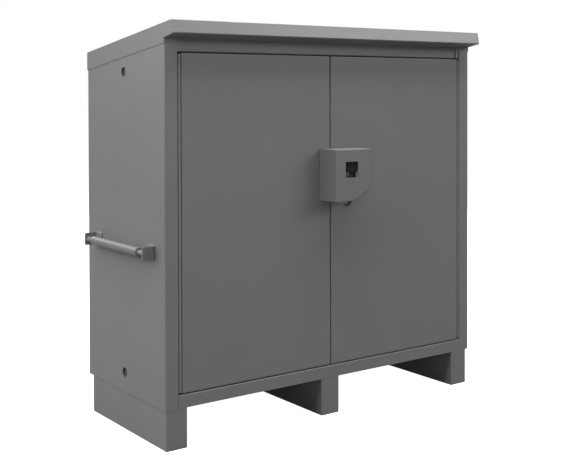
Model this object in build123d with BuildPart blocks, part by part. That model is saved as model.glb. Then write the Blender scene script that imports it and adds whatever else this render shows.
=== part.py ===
import math
import os

from build123d import *

os.makedirs("parts", exist_ok=True)

# A free-standing two-door steel cabinet for batteries. Millimetres, +Z up.
# Origin: centre of the cabinet's footprint on the floor. Doors face -Y.

# Overall
WIDTH = 1524.0
DEPTH = 628.0
HALF_W = WIDTH / 2
FRONT = -DEPTH / 2
BACK = DEPTH / 2
SHEET = 2.0
BEND = 4.0

# Skids under the floor
SKID_H = 147.0
SKID_W = 88.0
SKID_WALL = 3.0
SKID_SET_BACK = 1.0
SKID_LENGTH = 596.0
SKID_TOE_R = 5.0
SKID_CENTRES = {"left_skid": -715.5, "centre_skid": -14.0, "right_skid": 703.5}

# Roof cap with its visor
CAP_OUT = SHEET
ROOF_SLOPE = 0.1383
VISOR_TOP_Y = FRONT - 57.0
VISOR_TOP_Z = 1540.0
VISOR_LIP_Y = FRONT - 66.0
VISOR_LIP_Z = 1491.0
VISOR_ROOT_Z = 1479.0
FLANGE_H = 71.0
FLANGE_FRONT_Z = 1459.5
WELD_GAP = 0.5

# Door opening
JAMB_W = 54.5
JAMB_RETURN = 40.0
JAMB_X = HALF_W - JAMB_W
SILL_Z = 195.5
HEAD_Z = 1429.0
HEADER_SET_BACK = 12.0
SHELF_END_Y = -240.0
STOP_H = 14.0
STOP_Y = -282.0
STOP_T = 3.0

# Doors
DOOR_BOTTOM = 199.5
DOOR_TOP = 1425.0
DOOR_H = DOOR_TOP - DOOR_BOTTOM
DOOR_DEPTH = 30.0
DOOR_EDGE_X = 692.0
LEFT_FREE_X = -14.5
RIGHT_FREE_X = -9.5
DOOR_LIP = 18.0
DOOR_BACK_Y = FRONT + DOOR_DEPTH

# Continuous hinges
HINGE_X = 699.8
HINGE_Y = -309.0
KNUCKLE_R = 6.0
HINGE_PIN_R = 3.0
HINGE_BORE_R = 3.05
KNUCKLE_COUNT = 19
KNUCKLE_GAP = 0.6
LEAF_T = 2.0
FRAME_LEAF_END_Y = -277.0
DOOR_LEAF_END_Y = DOOR_BACK_Y - SHEET
LEAF_RELIEF_Y = -301.5
HINGE_Z0 = 203.0
HINGE_Z1 = 1421.5

# Side openings and their plugs
HOLE_R = 19.0
HOLE_Z = (219.6, 1361.6)
PLUG_RECESS = 7.0
PLUG_WALL = 1.5

# Lift handles on the two sides
HANDLE_Z = 704.0
HANDLE_STANDOFF = 37.0
HANDLE_HALF = 241.0
BRACKET_H = 48.0
BRACKET_T = 5.0
BRACKET_FOOT = 55.0
BRACKET_REACH = 51.0
ROD_R = 9.5
GRIP_R = 16.5
GRIP_BORE_R = 9.58
GRIP_HALF = 188.0

# Lock box on the right door
BOX_LEFT = -67.0
BOX_RIGHT = 108.0
BOX_BOTTOM = 857.0
BOX_TOP = 1059.0
BOX_FRONT_Y = FRONT - 104.0
BOX_WALL = 3.0
BOX_CORNER_X = 13.0
BOX_CORNER_Z = 901.0
BOX_DOOR_GAP = 2.0
WINDOW = (-19.0, 45.0, 949.0, 1011.0)

# Latch
LATCH_X = 77.0
LATCH_Z = 953.0
LEVER_Y = -392.0
LEVER_T = 8.0
LEVER_HUB_R = 26.0
LEVER_TIP_X = 11.0
LEVER_TIP_Z = 854.0
LEVER_TIP_R = 19.5
LEVER_RING_R = 11.0
WASHER_R = 25.0
WASHER_T = 2.5
EYE_R = 6.0
EYE_RADIUS = 72.0
LATCH_TURN = 60.0
SPINDLE_R = 8.0
SPINDLE_BORE_R = 8.05
BUSH_R = 12.0
BUSH_FLANGE_R = 18.0
CAM_R = 32.0
CAM_Y = -283.0
CAM_T = 6.0
CAM_PIN_R = 5.0
YOKE_Y = -275.0
YOKE_T = 8.0
YOKE_PLAY = 0.4
ROD_Y = -271.0
LOCK_ROD_R = 6.0
GUIDE_BORE_R = 6.05
ROD_TOP_Z = 1411.0
ROD_BOTTOM_Z = 213.0
KEEPER_R = 8.0

# Shelves
SHELF_Z = (559.0, 959.0)
SHELF_Y0 = -232.0
SHELF_Y1 = 300.0
SHELF_LIP = 25.0
RAIL_LEG = 30.0
RAIL_T = 3.0
BOLT_R = 4.0


def finish(builder, name):
    builder.part.label = name
    export_step(builder.part, f"parts/{name}.step")


def roof_underside(y):
    """Height at y of the panel tops, which stay clear of the bends inside the sloping cap."""
    return VISOR_TOP_Z - ROOF_SLOPE * (y - VISOR_TOP_Y) - 2 * SHEET


# ---------------------------------------------------------------- skids
for skid_name, skid_x in SKID_CENTRES.items():
    with BuildPart() as skid:
        with BuildSketch(Plane.XY):
            with Locations((skid_x, FRONT + SKID_SET_BACK + SKID_LENGTH / 2)):
                Rectangle(SKID_W, SKID_LENGTH)
        extrude(amount=SKID_H)
        uprights = skid.edges().filter_by(Axis.Z)
        fillet(uprights, BEND)
        toes = skid.edges().filter_by(Axis.X).group_by(Axis.Z)[0]
        fillet(toes, SKID_TOE_R)
        offset(amount=-SKID_WALL, openings=skid.faces().sort_by(Axis.Z)[-1], kind=Kind.INTERSECTION)
    finish(skid, skid_name)


# ---------------------------------------------------------------- side panels
def side_panel(side):
    inner_x = side * JAMB_X
    outer_x = side * HALF_W
    hand = Side.RIGHT if side < 0 else Side.LEFT
    with BuildPart() as panel:
        with BuildSketch(Plane.XY.offset(SKID_H)):
            with BuildLine():
                FilletPolyline(
                    (inner_x, FRONT + JAMB_RETURN),
                    (inner_x, FRONT),
                    (outer_x, FRONT),
                    (outer_x, BACK),
                    (outer_x - side * 20.0, BACK),
                    radius=BEND,
                )
                offset(amount=SHEET, side=hand)
            make_face()
        extrude(amount=VISOR_TOP_Z - SKID_H)
        with BuildSketch(Plane.YZ.offset(-HALF_W)):
            Polygon(
                (FRONT - 10, roof_underside(FRONT - 10)),
                (BACK + 10, roof_underside(BACK + 10)),
                (BACK + 10, VISOR_TOP_Z + 10),
                (FRONT - 10, VISOR_TOP_Z + 10),
                align=None,
            )
        extrude(amount=WIDTH, mode=Mode.SUBTRACT)
        with BuildSketch(Plane.YZ.offset(outer_x - 5)):
            with Locations(*[(0, z) for z in HOLE_Z]):
                Circle(HOLE_R)
        extrude(amount=10, mode=Mode.SUBTRACT)
    return panel


finish(side_panel(-1), "left_side_panel")
finish(side_panel(1), "right_side_panel")

# ---------------------------------------------------------------- blanking plugs
with BuildPart() as plugs:
    for side in (-1, 1):
        for hole_z in HOLE_Z:
            plug_axis = Plane(origin=(side * HALF_W, 0, hole_z), x_dir=(0, 1, 0), z_dir=(-side, 0, 0))
            with BuildSketch(plug_axis):
                Circle(HOLE_R)
            extrude(amount=PLUG_RECESS + PLUG_WALL)
            with BuildSketch(plug_axis):
                Circle(HOLE_R - PLUG_WALL)
            extrude(amount=PLUG_RECESS, mode=Mode.SUBTRACT)
finish(plugs, "blanking_plugs")

# ---------------------------------------------------------------- back and floor panels
with BuildPart() as back_panel:
    with BuildSketch(Plane.XZ.offset(-(BACK - SHEET))):
        with Locations((0, SKID_H)):
            Rectangle(WIDTH - 4 * BEND, roof_underside(BACK) - SKID_H, align=(Align.CENTER, Align.MIN))
    extrude(amount=SHEET)
finish(back_panel, "back_panel")

with BuildPart() as floor_panel:
    with BuildSketch(Plane.XY.offset(SKID_H)):
        with Locations((0, FRONT + SHEET)):
            Rectangle(WIDTH - 2 * SHEET, DEPTH - 3 * SHEET, align=(Align.CENTER, Align.MIN))
        for side in (-1, 1):
            with Locations((side * JAMB_X, FRONT + SHEET)):
                Rectangle(2 * BEND, 2 * JAMB_RETURN - 2 * SHEET, mode=Mode.SUBTRACT)
    extrude(amount=SHEET)
    for end in (0, -1):
        end_corners = floor_panel.edges().filter_by(Axis.Z).group_by(Axis.X)[end]
        fillet(end_corners.sort_by(Axis.Y)[0], BEND)
finish(floor_panel, "floor_panel")

# ---------------------------------------------------------------- roof cap with visor
CAP_X = HALF_W + CAP_OUT
CAP_BACK_Y = BACK + CAP_OUT
ROOF_BACK_Z = VISOR_TOP_Z - ROOF_SLOPE * (CAP_BACK_Y - VISOR_TOP_Y)
FLANGE_BACK_Z = ROOF_BACK_Z - FLANGE_H
HEADER_Y = FRONT + HEADER_SET_BACK
VISOR_RISE = (VISOR_LIP_Z - VISOR_ROOT_Z) / (FRONT - VISOR_LIP_Y)
VISOR_INNER_Z = VISOR_ROOT_Z - VISOR_RISE * HEADER_SET_BACK

with BuildPart() as roof_cap:
    with BuildSketch(Plane.YZ.offset(-CAP_X)):
        with BuildLine():
            FilletPolyline(
                (HEADER_Y - WELD_GAP, VISOR_INNER_Z),
                (VISOR_LIP_Y, VISOR_LIP_Z),
                (VISOR_TOP_Y, VISOR_TOP_Z),
                (CAP_BACK_Y, ROOF_BACK_Z),
                (CAP_BACK_Y, FLANGE_BACK_Z),
                radius=BEND,
            )
            offset(amount=SHEET, side=Side.RIGHT)
        make_face()
    extrude(amount=2 * CAP_X)
    for start in (-CAP_X, HALF_W):
        with BuildSketch(Plane.YZ.offset(start)):
            with BuildLine():
                FilletPolyline(
                    (FRONT, VISOR_ROOT_Z),
                    (VISOR_LIP_Y, VISOR_LIP_Z),
                    (VISOR_TOP_Y, VISOR_TOP_Z),
                    (CAP_BACK_Y, ROOF_BACK_Z),
                    (CAP_BACK_Y, FLANGE_BACK_Z),
                    radius=BEND,
                )
                Polyline(
                    (CAP_BACK_Y, FLANGE_BACK_Z),
                    (FRONT, FLANGE_FRONT_Z),
                    (FRONT, VISOR_ROOT_Z),
                )
            make_face()
        extrude(amount=CAP_OUT)
    for side in (-1, 1):
        with BuildSketch(Plane.XY.offset(VISOR_INNER_Z - SHEET)):
            with Locations((side * JAMB_X, FRONT)):
                Rectangle(
                    HALF_W - JAMB_X,
                    HEADER_SET_BACK + SHEET,
                    align=(Align.MIN if side > 0 else Align.MAX, Align.MIN),
                )
        extrude(amount=(VISOR_ROOT_Z - VISOR_INNER_Z) + 3 * SHEET, mode=Mode.SUBTRACT)
finish(roof_cap, "roof_cap")

# ---------------------------------------------------------------- header over the doors
TAB_W = 14.0
TAB_FORWARD = 6.0

with BuildPart() as header:
    with BuildSketch(Plane.YZ.offset(-JAMB_X)):
        with BuildLine():
            FilletPolyline(
                (HEADER_Y, roof_underside(HEADER_Y)),
                (HEADER_Y, HEAD_Z),
                (SHELF_END_Y, HEAD_Z),
                (SHELF_END_Y, HEAD_Z + 20),
                radius=BEND,
            )
            offset(amount=SHEET, side=Side.LEFT)
        make_face()
    extrude(amount=2 * JAMB_X)
    with BuildSketch(Plane.YZ.offset(-JAMB_X)):
        Polygon(
            (HEADER_Y - 1, roof_underside(HEADER_Y - 1)),
            (HEADER_Y + 10, roof_underside(HEADER_Y + 10)),
            (HEADER_Y + 10, VISOR_TOP_Z),
            (HEADER_Y - 1, VISOR_TOP_Z),
            align=None,
        )
    extrude(amount=2 * JAMB_X, mode=Mode.SUBTRACT)
    for start in (-JAMB_X, JAMB_X - TAB_W):
        with BuildSketch(Plane.XY.offset(HEAD_Z)):
            with Locations((start, HEADER_Y)):
                Rectangle(TAB_W, TAB_FORWARD, align=(Align.MIN, Align.MAX))
        extrude(amount=VISOR_INNER_Z - HEAD_Z)
    with BuildSketch(Plane.XY.offset(HEAD_Z - 1)):
        with Locations((LATCH_X, ROD_Y)):
            Circle(KEEPER_R)
    extrude(amount=10, mode=Mode.SUBTRACT)
finish(header, "header")

# ---------------------------------------------------------------- sill under the doors
with BuildPart() as sill:
    with BuildSketch(Plane.YZ.offset(-JAMB_X)):
        with BuildLine():
            FilletPolyline(
                (FRONT, SKID_H),
                (FRONT, SILL_Z),
                (SHELF_END_Y, SILL_Z),
                (SHELF_END_Y, SKID_H + SHEET),
                radius=BEND,
            )
            offset(amount=SHEET, side=Side.RIGHT)
        make_face()
    extrude(amount=2 * JAMB_X)
    with BuildSketch(Plane.XY.offset(SILL_Z - 8)):
        with Locations((LATCH_X, ROD_Y)):
            Circle(KEEPER_R)
    extrude(amount=10, mode=Mode.SUBTRACT)
finish(sill, "sill")

# ---------------------------------------------------------------- door stops
STOP_LENGTH = 2 * (JAMB_X - 40.0)
for stop_name, stop_z in (("upper_door_stop", HEAD_Z - STOP_H), ("lower_door_stop", SILL_Z)):
    with BuildPart() as stop:
        with BuildSketch(Plane.XY.offset(stop_z)):
            with Locations((0, STOP_Y)):
                Rectangle(STOP_LENGTH, STOP_T, align=(Align.CENTER, Align.MIN))
        extrude(amount=STOP_H)
    finish(stop, stop_name)


# ---------------------------------------------------------------- lift handles
def handle_brackets(side):
    wall_x = side * HALF_W
    with BuildPart() as brackets:
        for end in (-1, 1):
            web_y = end * HANDLE_HALF
            foot_y = web_y - end * BRACKET_FOOT
            with BuildSketch(Plane.XY.offset(HANDLE_Z - BRACKET_H / 2)):
                with BuildLine():
                    FilletPolyline(
                        (wall_x + side * BRACKET_REACH, web_y),
                        (wall_x, web_y),
                        (wall_x, foot_y),
                        radius=BRACKET_T + 1,
                    )
                    offset(amount=BRACKET_T, side=Side.LEFT if side * end > 0 else Side.RIGHT)
                make_face()
            extrude(amount=BRACKET_H)
        tips = brackets.edges().filter_by(Axis.Y).group_by(Axis.X)[0 if side < 0 else -1]
        fillet(tips, 4.0)
        with BuildSketch(Plane.XZ.offset(-HANDLE_HALF - 1)):
            with Locations((wall_x + side * HANDLE_STANDOFF, HANDLE_Z)):
                Circle(ROD_R)
        extrude(amount=2 * HANDLE_HALF + 2, mode=Mode.SUBTRACT)
    return brackets


def handle_rod(side):
    with BuildPart() as rod:
        with BuildSketch(Plane.XZ.offset(-HANDLE_HALF)):
            with Locations((side * (HALF_W + HANDLE_STANDOFF), HANDLE_Z)):
                Circle(ROD_R)
        extrude(amount=2 * HANDLE_HALF)
        chamfer(rod.edges().filter_by(GeomType.CIRCLE), 1.0)
    return rod


def grip_sleeve(side):
    with BuildPart() as sleeve:
        with BuildSketch(Plane.XZ.offset(-GRIP_HALF)):
            with Locations((side * (HALF_W + HANDLE_STANDOFF), HANDLE_Z)):
                Circle(GRIP_R)
                Circle(GRIP_BORE_R, mode=Mode.SUBTRACT)
        extrude(amount=2 * GRIP_HALF)
        rims = sleeve.edges().filter_by(GeomType.CIRCLE).sort_by(SortBy.RADIUS)[-2:]
        fillet(rims, 1.2)
    return sleeve


for side, hand in ((-1, "left"), (1, "right")):
    finish(handle_brackets(side), f"{hand}_handle_brackets")
    finish(handle_rod(side), f"{hand}_handle_rod")
    finish(grip_sleeve(side), f"{hand}_grip_sleeve")


# ---------------------------------------------------------------- continuous hinges
KNUCKLE_PITCH = (HINGE_Z1 - HINGE_Z0) / KNUCKLE_COUNT


def hinge_leaf(side, on_frame):
    pivot_x = side * HINGE_X
    plate_x = side * (JAMB_X - LEAF_T if on_frame else DOOR_EDGE_X)
    end_y = FRAME_LEAF_END_Y if on_frame else DOOR_LEAF_END_Y
    own = 0 if on_frame else 1
    with BuildPart() as leaf:
        with BuildSketch(Plane.XY.offset(HINGE_Z0)):
            with Locations((plate_x + side * LEAF_T / 2, LEAF_RELIEF_Y)):
                Rectangle(LEAF_T, end_y - LEAF_RELIEF_Y, align=(Align.CENTER, Align.MIN))
        extrude(amount=HINGE_Z1 - HINGE_Z0)
        for index in range(own, KNUCKLE_COUNT, 2):
            with BuildSketch(Plane.XY.offset(HINGE_Z0 + index * KNUCKLE_PITCH + KNUCKLE_GAP / 2)):
                with Locations((plate_x + side * LEAF_T / 2, HINGE_Y)):
                    Rectangle(LEAF_T, LEAF_RELIEF_Y - HINGE_Y, align=(Align.CENTER, Align.MIN))
                with Locations((pivot_x, HINGE_Y)):
                    Circle(KNUCKLE_R)
                    Circle(HINGE_BORE_R, mode=Mode.SUBTRACT)
            extrude(amount=KNUCKLE_PITCH - KNUCKLE_GAP)
    return leaf


def hinge_pin(side):
    with BuildPart() as pin:
        with BuildSketch(Plane.XY.offset(HINGE_Z0)):
            with Locations((side * HINGE_X, HINGE_Y)):
                Circle(HINGE_PIN_R)
        extrude(amount=HINGE_Z1 - HINGE_Z0)
    return pin


for side, hand in ((-1, "left"), (1, "right")):
    finish(hinge_leaf(side, True), f"{hand}_hinge_frame_leaf")
    finish(hinge_leaf(side, False), f"{hand}_hinge_door_leaf")
    finish(hinge_pin(side), f"{hand}_hinge_pin")


# ---------------------------------------------------------------- doors
def door_pan(x0, x1, bush_holes=()):
    mid_x = (x0 + x1) / 2
    width = x1 - x0
    with BuildPart() as pan:
        with BuildSketch(Plane.XZ.offset(-FRONT)):
            with Locations((mid_x, (DOOR_BOTTOM + DOOR_TOP) / 2)):
                Rectangle(width, DOOR_H)
        extrude(amount=-DOOR_DEPTH)
        front_edges = pan.faces().sort_by(Axis.Y)[0].edges()
        fillet(front_edges, 3.0)
        with BuildSketch(Plane.XZ.offset(-FRONT - SHEET)):
            with Locations((mid_x, (DOOR_BOTTOM + DOOR_TOP) / 2)):
                Rectangle(width - 2 * SHEET, DOOR_H - 2 * SHEET)
        extrude(amount=-(DOOR_DEPTH - 2 * SHEET), mode=Mode.SUBTRACT)
        with BuildSketch(Plane.XZ.offset(-DOOR_BACK_Y)):
            with Locations((mid_x, (DOOR_BOTTOM + DOOR_TOP) / 2)):
                Rectangle(width - 2 * DOOR_LIP, DOOR_H - 2 * DOOR_LIP)
        extrude(amount=SHEET, mode=Mode.SUBTRACT)
        for hole_x, hole_z in bush_holes:
            with BuildSketch(Plane.XZ.offset(-FRONT)):
                with Locations((hole_x, hole_z)):
                    Circle(BUSH_R)
            extrude(amount=-2 * SHEET, mode=Mode.SUBTRACT)
    return pan


finish(door_pan(-DOOR_EDGE_X, LEFT_FREE_X), "left_door")
finish(door_pan(RIGHT_FREE_X, DOOR_EDGE_X, [(LATCH_X, LATCH_Z)]), "right_door")


# ---------------------------------------------------------------- door stiffeners
STILE_W = 70.0
STILE_Z0 = DOOR_BOTTOM + DOOR_LIP
STILE_Z1 = DOOR_TOP - DOOR_LIP
SKIN_BACK_Y = FRONT + SHEET


def stiffener(centre_x, bush_holes=()):
    with BuildPart() as channel:
        with BuildSketch(Plane.XY.offset(STILE_Z0)):
            with BuildLine():
                FilletPolyline(
                    (centre_x - STILE_W / 2, SKIN_BACK_Y),
                    (centre_x - STILE_W / 2, DOOR_BACK_Y),
                    (centre_x + STILE_W / 2, DOOR_BACK_Y),
                    (centre_x + STILE_W / 2, SKIN_BACK_Y),
                    radius=BEND,
                )
                offset(amount=SHEET, side=Side.RIGHT)
            make_face()
        extrude(amount=STILE_Z1 - STILE_Z0)
        for hole_x, hole_z in bush_holes:
            with BuildSketch(Plane.XZ.offset(-DOOR_BACK_Y)):
                with Locations((hole_x, hole_z)):
                    Circle(BUSH_R)
            extrude(amount=2 * SHEET, mode=Mode.SUBTRACT)
    return channel


finish(stiffener(-360.0), "left_door_stiffener")
finish(stiffener(390.0), "right_door_stiffener")
finish(stiffener(LATCH_X, [(LATCH_X, LATCH_Z)]), "lock_stile")

# ---------------------------------------------------------------- astragal on the left door
ASTRAGAL_STEP = 5.0
with BuildPart() as astragal:
    with BuildSketch(Plane.XY.offset(STILE_Z0)):
        with BuildLine():
            Polyline(
                (LEFT_FREE_X - 20, DOOR_BACK_Y),
                (LEFT_FREE_X - 3, DOOR_BACK_Y),
                (LEFT_FREE_X + 2, DOOR_BACK_Y + ASTRAGAL_STEP),
                (LEFT_FREE_X + 28, DOOR_BACK_Y + ASTRAGAL_STEP),
            )
            offset(amount=SHEET, side=Side.LEFT)
        make_face()
    extrude(amount=STILE_Z1 - STILE_Z0)
finish(astragal, "astragal")

# ---------------------------------------------------------------- lock box
with BuildPart() as lock_box:
    with BuildSketch(Plane.XZ.offset(-FRONT)):
        Polygon(
            (BOX_LEFT, BOX_BOTTOM),
            (BOX_CORNER_X, BOX_BOTTOM),
            (BOX_RIGHT, BOX_CORNER_Z),
            (BOX_RIGHT, BOX_TOP),
            (BOX_LEFT, BOX_TOP),
            align=None,
        )
    extrude(amount=FRONT - BOX_FRONT_Y)
    lower_bends = lock_box.edges().filter_by(Axis.Y).filter_by_position(Axis.X, 0, BOX_RIGHT)
    fillet(lower_bends.group_by(Axis.Z)[:2][0] + lower_bends.group_by(Axis.Z)[:2][1], 14.0)
    rims = lock_box.faces().sort_by(Axis.Y)[0].edges()
    fillet(rims, 2.5)
    with BuildSketch(Plane.XZ.offset(-FRONT)):
        with Locations(((BOX_LEFT + BOX_RIGHT) / 2, BOX_TOP - BOX_WALL)):
            Rectangle(
                BOX_RIGHT - BOX_LEFT - 2 * BOX_WALL,
                BOX_TOP - BOX_BOTTOM,
                align=(Align.CENTER, Align.MAX),
            )
    extrude(amount=FRONT - BOX_FRONT_Y - BOX_WALL, mode=Mode.SUBTRACT)
    with BuildSketch(Plane.XZ.offset(-FRONT)):
        with Locations((RIGHT_FREE_X, (BOX_TOP + BOX_BOTTOM) / 2)):
            Rectangle(BOX_RIGHT - BOX_LEFT, BOX_TOP, align=(Align.MAX, Align.CENTER))
    extrude(amount=BOX_DOOR_GAP, mode=Mode.SUBTRACT)
    with BuildSketch(Plane.XZ.offset(-BOX_FRONT_Y)):
        with Locations(((WINDOW[0] + WINDOW[1]) / 2, (WINDOW[2] + WINDOW[3]) / 2)):
            RectangleRounded(WINDOW[1] - WINDOW[0], WINDOW[3] - WINDOW[2], 2.0)
    extrude(amount=-2 * BOX_WALL, mode=Mode.SUBTRACT)
finish(lock_box, "lock_box")

# ---------------------------------------------------------------- latch lever
LEVER_DROP = math.hypot(LATCH_X - LEVER_TIP_X, LATCH_Z - LEVER_TIP_Z)
LEVER_DIR = ((LEVER_TIP_X - LATCH_X) / LEVER_DROP, (LEVER_TIP_Z - LATCH_Z) / LEVER_DROP)
EYE_X = LATCH_X + EYE_RADIUS * LEVER_DIR[0]
EYE_Z = LATCH_Z + EYE_RADIUS * LEVER_DIR[1]
SQUARE = 11.0

with BuildPart() as latch_lever:
    with BuildSketch(Plane.XZ.offset(-LEVER_Y)):
        with Locations((LATCH_X, LATCH_Z)):
            Circle(LEVER_HUB_R)
        with Locations((LEVER_TIP_X, LEVER_TIP_Z)):
            Circle(LEVER_TIP_R)
        make_hull()
    extrude(amount=-LEVER_T)
    fillet(latch_lever.faces().sort_by(Axis.Y)[0].edges(), 1.5)
    with BuildSketch(Plane.XZ.offset(-LEVER_Y)):
        with Locations((LEVER_TIP_X, LEVER_TIP_Z)):
            Circle(LEVER_RING_R)
            Rectangle(2 * LEVER_TIP_R, 2 * LEVER_RING_R, align=(Align.MAX, Align.CENTER))
        with Locations((EYE_X, EYE_Z)):
            Circle(EYE_R)
        with Locations((LATCH_X, LATCH_Z)):
            Rectangle(SQUARE, SQUARE)
    extrude(amount=-LEVER_T, mode=Mode.SUBTRACT)
finish(latch_lever, "latch_lever")

# ---------------------------------------------------------------- spindle, washer, nut, bush
NUT_T = 7.0
NUT_R = 11.0
STUD_R = 5.0
with BuildPart() as latch_spindle:
    with BuildSketch(Plane.XZ.offset(-(LEVER_Y + LEVER_T))):
        with Locations((LATCH_X, LATCH_Z)):
            Circle(SPINDLE_R)
    extrude(amount=-(CAM_Y - LEVER_Y - LEVER_T))
    with BuildSketch(Plane.XZ.offset(-LEVER_Y)):
        with Locations((LATCH_X, LATCH_Z)):
            Rectangle(SQUARE, SQUARE)
    extrude(amount=-LEVER_T)
    with BuildSketch(Plane.XZ.offset(-CAM_Y)):
        with Locations((LATCH_X, LATCH_Z)):
            Rectangle(SQUARE, SQUARE)
    extrude(amount=-CAM_T)
    with BuildSketch(Plane.XZ.offset(-LEVER_Y)):
        with Locations((LATCH_X, LATCH_Z)):
            Circle(STUD_R)
    extrude(amount=WASHER_T + NUT_T + 3)
finish(latch_spindle, "latch_spindle")

with BuildPart() as lever_washer:
    with BuildSketch(Plane.XZ.offset(-LEVER_Y)):
        with Locations((LATCH_X, LATCH_Z)):
            Circle(WASHER_R)
            Circle(STUD_R, mode=Mode.SUBTRACT)
    extrude(amount=WASHER_T)
finish(lever_washer, "lever_washer")

with BuildPart() as lever_nut:
    with BuildSketch(Plane.XZ.offset(-LEVER_Y + WASHER_T)):
        with Locations((LATCH_X, LATCH_Z)):
            RegularPolygon(NUT_R, 6)
            Circle(STUD_R, mode=Mode.SUBTRACT)
    extrude(amount=NUT_T)
finish(lever_nut, "lever_nut")

with BuildPart() as spindle_bush:
    with BuildSketch(Plane.XZ.offset(-FRONT)):
        with Locations((LATCH_X, LATCH_Z)):
            Circle(BUSH_FLANGE_R)
    extrude(amount=8)
    with BuildSketch(Plane.XZ.offset(-FRONT)):
        with Locations((LATCH_X, LATCH_Z)):
            Circle(BUSH_R)
    extrude(amount=-DOOR_DEPTH)
    with BuildSketch(Plane.XZ.offset(-FRONT + 8)):
        with Locations((LATCH_X, LATCH_Z)):
            Circle(SPINDLE_BORE_R)
    extrude(amount=-DOOR_DEPTH - 8, mode=Mode.SUBTRACT)
    outer_rim = spindle_bush.edges().filter_by(GeomType.CIRCLE).sort_by(Axis.Y)[0:2].sort_by(SortBy.RADIUS)[-1]
    fillet(outer_rim, 2.0)
finish(spindle_bush, "spindle_bush")

# ---------------------------------------------------------------- cam that drives the rods
HALF_TURN = math.radians(LATCH_TURN / 2)
CAM_STROKE = 2 * CAM_R * math.sin(HALF_TURN)
PIN_DX = CAM_R * math.cos(HALF_TURN)
PIN_DZ = CAM_R * math.sin(HALF_TURN)
CAM_PINS = ((LATCH_X - PIN_DX, LATCH_Z - PIN_DZ), (LATCH_X + PIN_DX, LATCH_Z + PIN_DZ))

with BuildPart() as latch_cam:
    with BuildSketch(Plane.XZ.offset(-CAM_Y)):
        with Locations(*CAM_PINS):
            Circle(9.0)
        with Locations((LATCH_X, LATCH_Z)):
            Circle(15.0)
        make_hull()
        with Locations((LATCH_X, LATCH_Z)):
            Rectangle(SQUARE, SQUARE, mode=Mode.SUBTRACT)
    extrude(amount=-CAM_T)
    with BuildSketch(Plane.XZ.offset(-CAM_Y - CAM_T)):
        with Locations(*CAM_PINS):
            Circle(CAM_PIN_R)
    extrude(amount=-(YOKE_Y + YOKE_T + 3 - CAM_Y - CAM_T))
finish(latch_cam, "latch_cam")


# ---------------------------------------------------------------- lock rods with yokes
SLOT_H = 2 * (CAM_PIN_R + YOKE_PLAY)
SLOT_REACH = CAM_R - PIN_DX
SLOT_W = SLOT_REACH + SLOT_H
YOKE_LEG_W = 26.0
YOKE_ARM_H = 20.0
YOKE_RISE = 60.0


def lock_rod(pin_side, up, rod_end_z):
    pin_x = LATCH_X + pin_side * (PIN_DX + SLOT_REACH / 2)
    pin_z = LATCH_Z + pin_side * PIN_DZ
    arm_z = pin_z + up * YOKE_RISE
    leg_x = LATCH_X + pin_side * (PIN_DX + SLOT_REACH / 2)
    with BuildPart() as rod:
        with BuildSketch(Plane.XZ.offset(-YOKE_Y)):
            with Locations((leg_x, (pin_z - up * 13 + arm_z) / 2)):
                Rectangle(YOKE_LEG_W, abs(arm_z - pin_z + up * 13))
            with Locations(((leg_x + LATCH_X - pin_side * 8) / 2, arm_z - up * YOKE_ARM_H / 2)):
                Rectangle(abs(leg_x - LATCH_X + pin_side * 8), YOKE_ARM_H)
            with Locations((pin_x, pin_z)):
                SlotOverall(SLOT_W, SLOT_H, mode=Mode.SUBTRACT)
        extrude(amount=-YOKE_T)
        with BuildSketch(Plane.XY.offset(rod_end_z)):
            with Locations((LATCH_X, ROD_Y)):
                Circle(LOCK_ROD_R)
        extrude(amount=arm_z - up * YOKE_ARM_H / 2 - rod_end_z)
        tip = rod.faces().filter_by(Axis.Z).sort_by(Axis.Z)[-1 if up > 0 else 0].edges()
        chamfer(tip, 2.0)
    return rod


finish(lock_rod(-1, 1, ROD_TOP_Z), "upper_lock_rod")
finish(lock_rod(1, -1, ROD_BOTTOM_Z), "lower_lock_rod")

# ---------------------------------------------------------------- rod guides
GUIDE_Z = (263.0, 783.0, 1123.0, 1353.0)
GUIDE_W = 30.0
GUIDE_H = 16.0
with BuildPart() as rod_guides:
    for guide_z in GUIDE_Z:
        with BuildSketch(Plane.XY.offset(guide_z)):
            with Locations((LATCH_X, DOOR_BACK_Y)):
                Rectangle(GUIDE_W, ROD_Y - DOOR_BACK_Y + 10, align=(Align.CENTER, Align.MIN))
            with Locations((LATCH_X, ROD_Y)):
                Circle(GUIDE_BORE_R, mode=Mode.SUBTRACT)
        extrude(amount=GUIDE_H)
    corners = rod_guides.edges().filter_by(Axis.Z).group_by(Axis.Y)[-1]
    fillet(corners, 4.0)
finish(rod_guides, "rod_guides")

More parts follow.
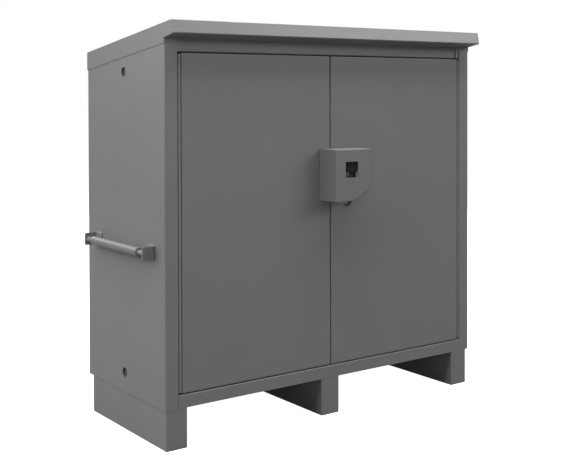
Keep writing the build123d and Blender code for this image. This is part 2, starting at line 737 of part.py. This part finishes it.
# ---------------------------------------------------------------- padlock staple
STAPLE_W = 24.0
STAPLE_T = 3.0
STAPLE_FOOT = 22.0
STAPLE_FRONT_Y = LEVER_Y + LEVER_T + 5.0
REST_ANGLE = math.atan2(LEVER_DIR[1], LEVER_DIR[0])
LOCKED_ANGLE = REST_ANGLE - math.radians(LATCH_TURN)
STAPLE_X = LATCH_X + EYE_RADIUS * math.cos(LOCKED_ANGLE)
STAPLE_Z = LATCH_Z + EYE_RADIUS * math.sin(LOCKED_ANGLE)
STAPLE_BEND_Z = STAPLE_Z - 34.0
with BuildPart() as padlock_staple:
    with BuildSketch(Plane.YZ.offset(STAPLE_X - STAPLE_W / 2 + 2)):
        with BuildLine():
            FilletPolyline(
                (FRONT, STAPLE_BEND_Z - STAPLE_FOOT),
                (FRONT, STAPLE_BEND_Z),
                (STAPLE_FRONT_Y + STAPLE_T, STAPLE_BEND_Z),
                (STAPLE_FRONT_Y + STAPLE_T, STAPLE_Z + 14),
                radius=5.0,
            )
            offset(amount=STAPLE_T, side=Side.LEFT)
        make_face()
    extrude(amount=STAPLE_W - 2)
    with BuildSketch(Plane.XZ.offset(-STAPLE_FRONT_Y + 1)):
        with Locations((STAPLE_X, STAPLE_Z)):
            Circle(EYE_R)
    extrude(amount=-STAPLE_T - 2, mode=Mode.SUBTRACT)
finish(padlock_staple, "padlock_staple")


# ---------------------------------------------------------------- shelves
SHELF_HALF = HALF_W - SHEET - 1.0
BOLT_X = HALF_W - SHEET - RAIL_LEG / 2 - 1
BOLT_YS = (-150.0, 200.0)


def shelf_pan(shelf_z):
    with BuildPart() as shelf:
        with BuildSketch(Plane.XY.offset(shelf_z)):
            with Locations((0, (SHELF_Y0 + SHELF_Y1) / 2)):
                Rectangle(2 * SHELF_HALF, SHELF_Y1 - SHELF_Y0)
        extrude(amount=SHELF_LIP)
        fillet(shelf.faces().sort_by(Axis.Z)[0].edges(), 3.0)
        with BuildSketch(Plane.XY.offset(shelf_z + SHEET)):
            with Locations((0, (SHELF_Y0 + SHELF_Y1) / 2)):
                Rectangle(2 * (SHELF_HALF - SHEET), SHELF_Y1 - SHELF_Y0 - 2 * SHEET)
        extrude(amount=SHELF_LIP, mode=Mode.SUBTRACT)
        with BuildSketch(Plane.XY.offset(shelf_z)):
            with Locations(*[(sx * BOLT_X, y) for sx in (-1, 1) for y in BOLT_YS]):
                Circle(BOLT_R)
        extrude(amount=SHEET, mode=Mode.SUBTRACT)
    return shelf


finish(shelf_pan(SHELF_Z[0]), "lower_shelf")
finish(shelf_pan(SHELF_Z[1]), "upper_shelf")

with BuildPart() as shelf_rails:
    for side in (-1, 1):
        wall_x = side * (HALF_W - SHEET)
        for shelf_z in SHELF_Z:
            with BuildSketch(Plane.XZ.offset(-SHELF_Y0)):
                with BuildLine():
                    FilletPolyline(
                        (wall_x, shelf_z - RAIL_LEG),
                        (wall_x, shelf_z),
                        (wall_x - side * RAIL_LEG, shelf_z),
                        radius=BEND,
                    )
                    offset(amount=RAIL_T, side=Side.RIGHT if side < 0 else Side.LEFT)
                make_face()
            extrude(amount=-(SHELF_Y1 - SHELF_Y0))
            with BuildSketch(Plane.XY.offset(shelf_z - RAIL_T)):
                with Locations(*[(side * BOLT_X, y) for y in BOLT_YS]):
                    Circle(BOLT_R)
            extrude(amount=RAIL_T, mode=Mode.SUBTRACT)
finish(shelf_rails, "shelf_rails")

with BuildPart() as shelf_bolts:
    for shelf_z in SHELF_Z:
        spots = [(sx * BOLT_X, y) for sx in (-1, 1) for y in BOLT_YS]
        with BuildSketch(Plane.XY.offset(shelf_z + SHEET)):
            with Locations(*spots):
                RegularPolygon(7.5, 6)
        extrude(amount=5.3)
        with BuildSketch(Plane.XY.offset(shelf_z + SHEET)):
            with Locations(*spots):
                Circle(BOLT_R)
        extrude(amount=-16)
finish(shelf_bolts, "shelf_bolts")

with BuildPart() as shelf_nuts:
    for shelf_z in SHELF_Z:
        with BuildSketch(Plane.XY.offset(shelf_z - RAIL_T)):
            with Locations(*[(sx * BOLT_X, y) for sx in (-1, 1) for y in BOLT_YS]):
                RegularPolygon(7.5, 6)
                Circle(BOLT_R, mode=Mode.SUBTRACT)
        extrude(amount=-6.8)
finish(shelf_nuts, "shelf_nuts")
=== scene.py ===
import math
import random

import bmesh
import bpy
from mathutils import Euler, Matrix, Vector


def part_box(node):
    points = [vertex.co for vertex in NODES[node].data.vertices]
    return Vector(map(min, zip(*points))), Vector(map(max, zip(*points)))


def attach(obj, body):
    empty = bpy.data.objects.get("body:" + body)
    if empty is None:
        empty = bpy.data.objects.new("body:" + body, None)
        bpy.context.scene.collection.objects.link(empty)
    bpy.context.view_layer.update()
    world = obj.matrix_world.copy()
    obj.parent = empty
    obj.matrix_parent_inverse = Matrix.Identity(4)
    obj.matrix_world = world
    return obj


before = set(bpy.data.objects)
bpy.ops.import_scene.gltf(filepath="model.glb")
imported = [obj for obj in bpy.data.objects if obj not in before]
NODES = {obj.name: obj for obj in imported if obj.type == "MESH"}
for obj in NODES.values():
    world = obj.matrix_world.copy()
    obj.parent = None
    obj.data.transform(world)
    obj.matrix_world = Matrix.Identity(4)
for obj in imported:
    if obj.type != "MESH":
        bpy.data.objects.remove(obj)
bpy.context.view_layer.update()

random.seed(7)

# ------------------------------------------------------------------ helpers


def new_material(name):
    """An empty node material and its node tree."""
    material = bpy.data.materials.new(name)
    material.use_nodes = True
    tree = material.node_tree
    tree.nodes.clear()
    return material, tree


def add(tree, kind, **inputs):
    """A node of this kind, with its inputs set by name."""
    node = tree.nodes.new(kind)
    for key, value in inputs.items():
        node.inputs[key.replace("_", " ")].default_value = value
    return node


def noise(tree, coords, scale, detail, roughness=0.55):
    """Noise from 0 to 1; the scale is in bumps per metre."""
    node = add(tree, "ShaderNodeTexNoise", Scale=scale, Detail=detail, Roughness=roughness)
    tree.links.new(coords, node.inputs["Vector"])
    return node.outputs["Fac"]


def remap(tree, value, low, high, to_low, to_high):
    """The value, stretched from (low, high) to (to_low, to_high) and clamped."""
    node = tree.nodes.new("ShaderNodeMapRange")
    for index, number in enumerate((low, high, to_low, to_high), start=1):
        node.inputs[index].default_value = number
    tree.links.new(value, node.inputs[0])
    return node.outputs[0]


def math_node(tree, operation, first, second):
    """One Math node; each operand is a number or another node's output."""
    node = tree.nodes.new("ShaderNodeMath")
    node.operation = operation
    for socket, value in zip(node.inputs, (first, second)):
        if isinstance(value, (int, float)):
            socket.default_value = value
        else:
            tree.links.new(value, socket)
    return node.outputs[0]


def mix_color(tree, factor, first, second):
    """The first colour where the factor is 0, the second where it is 1."""
    node = tree.nodes.new("ShaderNodeMix")
    node.data_type = "RGBA"
    factor_socket, first_socket, second_socket = node.inputs[0], node.inputs[6], node.inputs[7]
    for socket, value in ((factor_socket, factor), (first_socket, first), (second_socket, second)):
        if isinstance(value, (int, float, tuple)):
            socket.default_value = value
        else:
            tree.links.new(value, socket)
    return node.outputs[2]


def grey(level):
    """A grey a touch cooler than neutral."""
    return (level, level, level * 1.005, 1.0)


def bumps(tree, layers):
    """A chain of Bump nodes, one per (height, strength, distance in metres)."""
    normal = None
    for height, strength, distance in layers:
        node = add(tree, "ShaderNodeBump", Strength=strength, Distance=distance)
        tree.links.new(height, node.inputs["Height"])
        if normal is not None:
            tree.links.new(normal, node.inputs["Normal"])
        normal = node.outputs["Normal"]
    return normal


def surface(tree, shader, kind="ShaderNodeOutputMaterial"):
    """The shader, joined to the tree's output."""
    output = tree.nodes.new(kind)
    tree.links.new(shader.outputs[0], output.inputs["Surface"])


FLAT_DOT = 0.995
EDGE_DOT = 0.86


def edge_mask(tree, radius):
    """1 on edges tighter than the radius, 0 on flat faces."""
    bevel = tree.nodes.new("ShaderNodeBevel")
    bevel.samples = 4
    bevel.inputs["Radius"].default_value = radius
    geometry = tree.nodes.new("ShaderNodeNewGeometry")
    dot = tree.nodes.new("ShaderNodeVectorMath")
    dot.operation = "DOT_PRODUCT"
    tree.links.new(bevel.outputs["Normal"], dot.inputs[0])
    tree.links.new(geometry.outputs["Normal"], dot.inputs[1])
    return remap(tree, dot.outputs["Value"], FLAT_DOT, EDGE_DOT, 0.0, 1.0)


SLOPING_UP_Z = 0.93
FACING_UP_Z = 0.985


def top_mask(tree):
    """1 on faces that look up, where dust settles, and 0 elsewhere."""
    split = tree.nodes.new("ShaderNodeSeparateXYZ")
    geometry = tree.nodes.new("ShaderNodeNewGeometry")
    tree.links.new(geometry.outputs["True Normal"], split.inputs[0])
    return remap(tree, split.outputs["Z"], SLOPING_UP_Z, FACING_UP_Z, 0.0, 1.0)


# ------------------------------------------------------------------ materials
# A level is the share of light that the colour sends back; radii are in metres.
# Edges within this radius are lightened, partly as rubbed wear, partly as a painted highlight.
RUBBED_AND_HIGHLIGHT_EDGE_R = 0.0035
# Zinc edges within this radius get a painted highlight.
HIGHLIGHT_EDGE_R = 0.001
PAINT_IOR = 1.46
PAINT_SPECULAR = 0.5
DUST_SPECULAR = 0.12
DUST_ROUGHNESS = 0.35
DUST_LEVEL = 0.30


def powder_coat(name, level, texture=1.0, rough_low=0.33):
    """Semi-matt powder coat: orange peel, faint sheet waviness, edges lightened partly as rubbed
    wear and partly as a painted highlight, dust on top.
    """
    material, tree = new_material(name)
    coords = tree.nodes.new("ShaderNodeTexCoord").outputs["Object"]
    peel = noise(tree, coords, scale=620.0, detail=3.0)
    stipple = noise(tree, coords, scale=1900.0, detail=2.0)
    wave = noise(tree, coords, scale=3.2, detail=1.0)
    cloud = noise(tree, coords, scale=5.5, detail=4.0)
    grime = noise(tree, coords, scale=38.0, detail=6.0, roughness=0.7)
    dust = top_mask(tree)
    # The edge mask lightens the colour: partly rubbed wear, partly a painted highlight along the
    # edges.
    edges = edge_mask(tree, RUBBED_AND_HIGHLIGHT_EDGE_R)
    rub_and_highlight = math_node(tree, "MULTIPLY", edges, remap(tree, grime, 0.42, 0.62, 0.25, 1.0))

    cloudy = remap(tree, cloud, 0.3, 0.7, 0.0, 1.0)
    speckled = remap(tree, stipple, 0.35, 0.65, 0.0, 0.10)
    grimy = remap(tree, grime, 0.60, 0.80, 0.0, 0.10)
    edge_lightening = math_node(tree, "MULTIPLY", rub_and_highlight, 0.35)
    dusty = remap(tree, math_node(tree, "MULTIPLY", dust, cloud), 0.0, 1.0, 0.0, 0.25)
    base = mix_color(tree, cloudy, grey(level * 0.975), grey(level * 1.025))
    base = mix_color(tree, speckled, base, grey(level * 1.5))
    base = mix_color(tree, grimy, base, grey(level * 0.7))
    base = mix_color(tree, edge_lightening, base, grey(level * 1.7))
    base = mix_color(tree, dusty, base, grey(DUST_LEVEL))

    rough = remap(tree, peel, 0.3, 0.7, rough_low, rough_low + 0.07)
    rough = math_node(tree, "ADD", rough, remap(tree, grime, 0.5, 0.8, 0.0, 0.06))
    rough = math_node(tree, "SUBTRACT", rough, math_node(tree, "MULTIPLY", rub_and_highlight, 0.08))
    rough = math_node(tree, "ADD", rough, math_node(tree, "MULTIPLY", dust, DUST_ROUGHNESS))

    shader = tree.nodes.new("ShaderNodeBsdfPrincipled")
    shader.inputs["IOR"].default_value = PAINT_IOR
    specular = remap(tree, dust, 0.0, 1.0, PAINT_SPECULAR, DUST_SPECULAR)
    tree.links.new(specular, shader.inputs["Specular IOR Level"])
    tree.links.new(base, shader.inputs["Base Color"])
    tree.links.new(rough, shader.inputs["Roughness"])
    normal = bumps(
        tree,
        (
            (wave, 0.25, 0.004),
            (peel, 0.22 * texture, 0.0004),
            (stipple, 0.10 * texture, 0.0002),
        ),
    )
    tree.links.new(normal, shader.inputs["Normal"])
    surface(tree, shader)
    return material


def zinc_plate(name, level, stretch=(1.0, 1.0, 1.0), dull=0.0):
    """Zinc-plated steel: grain drawn out along any stretched axis, patches, a painted highlight on
    the edges.
    """
    material, tree = new_material(name)
    coords = tree.nodes.new("ShaderNodeTexCoord").outputs["Object"]
    mapping = tree.nodes.new("ShaderNodeMapping")
    mapping.inputs["Scale"].default_value = stretch
    tree.links.new(coords, mapping.inputs["Vector"])
    grain = noise(tree, mapping.outputs["Vector"], scale=900.0, detail=4.0)
    patches = noise(tree, coords, scale=45.0, detail=5.0, roughness=0.65)
    edges = edge_mask(tree, HIGHLIGHT_EDGE_R)

    base = mix_color(
        tree,
        remap(tree, patches, 0.35, 0.65, 0.0, 1.0),
        (level * 0.86, level * 0.87, level * 0.86, 1.0),
        (level * 1.05, level * 1.04, level * 0.98, 1.0),
    )
    # Painted highlight: the edges are lightened towards a brighter grey.
    edge_highlight = math_node(tree, "MULTIPLY", edges, 0.4)
    base = mix_color(tree, edge_highlight, base, grey(min(1.0, level * 1.35)))
    rough = remap(tree, grain, 0.3, 0.7, 0.26, 0.46)
    patchy = remap(tree, patches, 0.45, 0.7, dull * 0.5, dull * 0.5 + 0.12)
    rough = math_node(tree, "ADD", rough, patchy)

    shader = tree.nodes.new("ShaderNodeBsdfPrincipled")
    shader.inputs["Metallic"].default_value = 1.0 - dull
    tree.links.new(base, shader.inputs["Base Color"])
    tree.links.new(rough, shader.inputs["Roughness"])
    normal = bumps(tree, ((grain, 0.12, 0.0002), (patches, 0.05, 0.0005)))
    tree.links.new(normal, shader.inputs["Normal"])
    surface(tree, shader)
    return material


PAINT_LEVEL = 0.155
BLACK_LEVEL = 0.03
# Painted shade: parts inside the cabinet get the grey coat a little darker.
PAINTED_SHADE_LEVEL = PAINT_LEVEL * 0.92
# The blanking plugs are darker: partly a darker enamel, partly painted shade standing in for the
# recess they sit in.
PLUG_AND_SHADE_LEVEL = PAINT_LEVEL * 0.42
paint = powder_coat("grey_powder_coat", PAINT_LEVEL)
paint_inside = powder_coat("grey_powder_coat_inside_painted_shade", PAINTED_SHADE_LEVEL, texture=1.3)
# The grips use the darker coat as painted shade on the bar, and are glossier so a thin top
# highlight still shows.
paint_grip = powder_coat("grey_powder_coat_grip_painted_shade", PAINTED_SHADE_LEVEL, texture=0.5, rough_low=0.24)
zinc_round = zinc_plate("zinc_plate", 0.62)
# The washer and nut get a lighter, less metallic zinc: painted light, standing in for the light
# that reaches them through the lock box window.
zinc_dull_painted_light = zinc_plate("zinc_plate_dull_painted_light", 0.80, dull=0.7)
zinc_rod = zinc_plate("zinc_plate_drawn_rod", 0.60, stretch=(1.0, 1.0, 0.05))
paint_black = powder_coat("black_powder_coat", BLACK_LEVEL, texture=1.2)
paint_plug = powder_coat("dark_grey_plug_enamel_and_painted_shade", PLUG_AND_SHADE_LEVEL, texture=0.6)

ZINC_RODS = {"left_hinge_pin", "right_hinge_pin", "upper_lock_rod", "lower_lock_rod"}
ZINC_SMALL = {"shelf_bolts", "shelf_nuts", "latch_spindle", "latch_cam", "spindle_bush"}
ZINC_DULL_PAINTED_LIGHT = {"lever_washer", "lever_nut"}
INSIDE = {"lower_shelf", "upper_shelf", "shelf_rails", "floor_panel", "astragal"}
GRIPS = {"left_grip_sleeve", "right_grip_sleeve"}


def finish_of(node):
    """The finish of a CAD node; what no set names is painted sheet."""
    if node in ZINC_RODS:
        return zinc_rod
    if node in ZINC_SMALL:
        return zinc_round
    if node in ZINC_DULL_PAINTED_LIGHT:
        return zinc_dull_painted_light
    if node in INSIDE:
        return paint_inside
    if node in GRIPS:
        return paint_grip
    if node == "latch_lever":
        return paint_black
    if node == "blanking_plugs":
        return paint_plug
    return paint


for node_name, node_object in NODES.items():
    node_object.data.materials.clear()
    node_object.data.materials.append(finish_of(node_name))


# ------------------------------------------------------------------ weld beads
# Lengths are in metres. A bead is a row of rings that swell at each ripple, thin out towards
# its two ends and wander a little to the side, through WANDER_ANGLE radians of a sine.
BEAD_STEP = 0.0010
BEAD_SIDES = 10
BEAD_PITCH = 0.0028
BEAD_RIPPLE = 0.13
BEAD_WANDER = 0.08
WANDER_ANGLE = 9.0
END_SHARE = 0.25
END_GROWTH = 6.0


def add_bead(bead, start, end, radius):
    """One fillet weld laid along a line, with the ripples the torch leaves."""
    start, end = Vector(start), Vector(end)
    length = (end - start).length
    along = (end - start) / length
    side = along.orthogonal().normalized()
    up = along.cross(side)
    rings = max(4, int(length / BEAD_STEP))
    phase = random.random() * math.tau
    previous = None
    for step in range(rings + 1):
        share = step / rings
        taper = min(1.0, END_SHARE + END_GROWTH * min(share, 1 - share))
        ripple = 1.0 + BEAD_RIPPLE * abs(math.sin(math.pi * length * share / BEAD_PITCH + phase))
        wander = BEAD_WANDER * math.sin(WANDER_ANGLE * share + phase) * radius
        centre = start + along * length * share + side * wander
        ring = []
        for corner in range(BEAD_SIDES):
            angle = math.tau * corner / BEAD_SIDES
            offset = side * math.cos(angle) + up * math.sin(angle)
            ring.append(bead.verts.new(centre + offset * radius * taper * ripple))
        if previous:
            for corner in range(BEAD_SIDES):
                after = (corner + 1) % BEAD_SIDES
                bead.faces.new((previous[corner], previous[after], ring[after], ring[corner]))
        else:
            bead.faces.new(list(reversed(ring)))
        previous = ring
    bead.faces.new(previous)


def weld(name, runs, radius, body):
    """A piece made of one bead for each (start, end), painted over with the sheet."""
    mesh = bpy.data.meshes.new(name)
    bead = bmesh.new()
    for start, end in runs:
        add_bead(bead, start, end, radius)
    for face in bead.faces:
        face.smooth = True
    bead.to_mesh(mesh)
    bead.free()
    piece = bpy.data.objects.new(name, mesh)
    bpy.context.scene.collection.objects.link(piece)
    mesh.materials.append(paint)
    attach(piece, body)


def stitches(start, end, count, length):
    """Equal short runs spread along the line from start to end."""
    start, end = Vector(start), Vector(end)
    along = (end - start).normalized()
    runs = []
    for index in range(count):
        middle = start.lerp(end, (index + 0.5) / count)
        runs.append((middle - along * length / 2, middle + along * length / 2))
    return runs


# Lift handle brackets: a bead along the top and the bottom of each foot.
BRACKET_BEAD_R = 0.0036
BEAD_FROM = 0.008
BEAD_TO = 0.050
for hand, side in (("left", -1), ("right", 1)):
    low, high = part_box(f"{hand}_handle_brackets")
    wall_x = low.x if side > 0 else high.x
    runs = []
    for edge_y, inward in ((low.y, 1), (high.y, -1)):
        for edge_z in (low.z, high.z):
            start = (wall_x, edge_y + inward * BEAD_FROM, edge_z)
            end = (wall_x, edge_y + inward * BEAD_TO, edge_z)
            runs.append((start, end))
    weld(f"{hand}_handle_welds", runs, BRACKET_BEAD_R, "cabinet")

# Skids: stitches along both long top edges, under the floor panel.
STITCH_R = 0.0022
SKID_STITCHES = 4
SKID_STITCH_LENGTH = 0.060
for skid in ("left_skid", "centre_skid", "right_skid"):
    low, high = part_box(skid)
    runs = []
    for edge_x in (low.x, high.x):
        start, end = (edge_x, low.y, high.z), (edge_x, high.y, high.z)
        runs += stitches(start, end, SKID_STITCHES, SKID_STITCH_LENGTH)
    weld(f"{skid}_welds", runs, STITCH_R, "cabinet")

# Lock box: stitches down its right side, above the sloping corner, on the door skin.
LOCK_STITCHES = 3
DOOR_STITCH_LENGTH = 0.030
CORNER_RISE = 0.060
TOP_MARGIN = 0.010
low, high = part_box("lock_box")
start, end = (high.x, high.y, low.z + CORNER_RISE), (high.x, high.y, high.z - TOP_MARGIN)
runs = stitches(start, end, LOCK_STITCHES, DOOR_STITCH_LENGTH)
weld("lock_box_welds", runs, STITCH_R, "right_door_leaf")

# Stiffening channels inside the doors: stitches where the flanges meet the skin.
SMALL_STITCH_R = 0.0016
CHANNEL_STITCHES = 7
for node, body in (
    ("left_door_stiffener", "left_door_leaf"),
    ("right_door_stiffener", "right_door_leaf"),
    ("lock_stile", "right_door_leaf"),
):
    low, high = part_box(node)
    runs = []
    for edge_x in (low.x, high.x):
        start, end = (edge_x, low.y, low.z), (edge_x, low.y, high.z)
        runs += stitches(start, end, CHANNEL_STITCHES, DOOR_STITCH_LENGTH)
    weld(f"{node}_welds", runs, SMALL_STITCH_R, body)

# ------------------------------------------------------------------ floor, backdrop and light
def seen_or_lit(tree, seen, lit):
    """The first shader where the camera looks, the second for the light on the object."""
    path = tree.nodes.new("ShaderNodeLightPath")
    pick = tree.nodes.new("ShaderNodeMixShader")
    tree.links.new(path.outputs["Is Camera Ray"], pick.inputs[0])
    tree.links.new(lit.outputs[0], pick.inputs[1])
    tree.links.new(seen.outputs[0], pick.inputs[2])
    return pick


# The floor lies a hair under the skids, so that its face and theirs don't fight.
FLOOR_HALF = 60.0
FLOOR_DROP = 0.0005
FLOOR_BOUNCE = 0.20
floor_mesh = bpy.data.meshes.new("floor")
corners = [(x * FLOOR_HALF, y * FLOOR_HALF, 0) for x, y in ((-1, -1), (1, -1), (1, 1), (-1, 1))]
floor_mesh.from_pydata(corners, [], [(0, 1, 2, 3)])
floor = bpy.data.objects.new("floor", floor_mesh)
bpy.context.scene.collection.objects.link(floor)
floor.location.z = -FLOOR_DROP

floor_material, tree = new_material("studio_floor")
matt = add(tree, "ShaderNodeBsdfDiffuse", Color=grey(0.85))
glow = add(tree, "ShaderNodeEmission", Color=grey(1.0), Strength=1.0)
pale = tree.nodes.new("ShaderNodeAddShader")
tree.links.new(matt.outputs[0], pale.inputs[0])
tree.links.new(glow.outputs[0], pale.inputs[1])
bounce = add(tree, "ShaderNodeBsdfDiffuse", Color=grey(FLOOR_BOUNCE))
surface(tree, seen_or_lit(tree, pale, bounce))
floor_mesh.materials.append(floor_material)

ROOM_GLOW = 0.03
world = bpy.data.worlds.new("studio")
bpy.context.scene.world = world
world.use_nodes = True
tree = world.node_tree
tree.nodes.clear()
fill = add(tree, "ShaderNodeBackground", Color=grey(1.0), Strength=ROOM_GLOW)
white = add(tree, "ShaderNodeBackground", Color=grey(1.0), Strength=1.0)
surface(tree, seen_or_lit(tree, white, fill), kind="ShaderNodeOutputWorld")


def area_light(name, place, target, size, power):
    """A rectangular soft box at the place, turned to the target; metres and watts."""
    data = bpy.data.lights.new(name, "AREA")
    data.shape = "RECTANGLE"
    data.size, data.size_y = size
    data.energy = power
    light = bpy.data.objects.new(name, data)
    light.location = place
    light.rotation_mode = "QUATERNION"
    light.rotation_quaternion = (Vector(target) - Vector(place)).to_track_quat("-Z", "Y")
    bpy.context.scene.collection.objects.link(light)


CENTRE = (0.0, 0.0, 0.8)
area_light("rear_left", (-5.0, 3.0, 2.8), CENTRE, (3.5, 3.0), 140.0)
area_light("left", (-6.0, 0.4, 5.4), CENTRE, (6.0, 5.0), 400.0)
area_light("front_right", (3.9, -4.7, 3.6), (0.0, -0.3, 1.4), (5.0, 1.4), 180.0)
area_light("front_left", (-3.9, -5.4, 2.2), CENTRE, (2.5, 2.5), 76.0)
area_light("overhead", (0.0, -1.0, 5.2), (0.0, -0.6, 0.0), (6.0, 2.6), 360.0)
area_light("rear_high", (-1.8, 6.2, 3.8), CENTRE, (4.5, 2.0), 62.0)
area_light("back_fill", (3.0, 6.0, 2.0), CENTRE, (4.0, 3.0), 110.0)
area_light("right_fill", (6.0, 1.5, 2.5), CENTRE, (3.6, 3.6), 80.0)

# ------------------------------------------------------------------ camera
# It stands at the front left, a little below the roof, looking slightly down.
CAMERA_PLACE = Vector((-2.5436, -3.5011, 1.2804))
CAMERA_YAW = math.radians(35.813)
CAMERA_PITCH = math.radians(0.708)
CAMERA_ROLL = math.radians(-0.142)
LENS_MM = 65.24
LENS_SHIFT_X = -0.000885
LENS_SHIFT_Y = -0.22207

camera_data = bpy.data.cameras.new("camera")
camera_data.lens = LENS_MM
camera_data.shift_x = LENS_SHIFT_X
camera = bpy.data.objects.new("camera", camera_data)
bpy.context.scene.collection.objects.link(camera)
camera.matrix_world = (
    Matrix.Translation(CAMERA_PLACE)
    @ Euler((math.pi / 2 - CAMERA_PITCH, 0, -CAMERA_YAW)).to_matrix().to_4x4()
    @ Matrix.Rotation(CAMERA_ROLL, 4, "Z")
)
bpy.context.scene.camera = camera

# The lens is shifted down only while the camera stands at its own place, so that a camera
# moved round the object keeps it in the middle.
curve = camera_data.driver_add("shift_y")
curve.driver.type = "SCRIPTED"
for axis in "XY":
    variable = curve.driver.variables.new()
    variable.name = "place_" + axis.lower()
    variable.type = "TRANSFORMS"
    variable.targets[0].id = camera
    variable.targets[0].transform_type = "LOC_" + axis
    variable.targets[0].transform_space = "WORLD_SPACE"
curve.driver.expression = (
    f"{LENS_SHIFT_Y} if abs(place_x - ({CAMERA_PLACE.x:.4f})) < 0.001"
    f" and abs(place_y - ({CAMERA_PLACE.y:.4f})) < 0.001 else 0"
)

bpy.context.scene.view_settings.view_transform = "Standard"
bpy.context.scene.view_settings.look = "None"
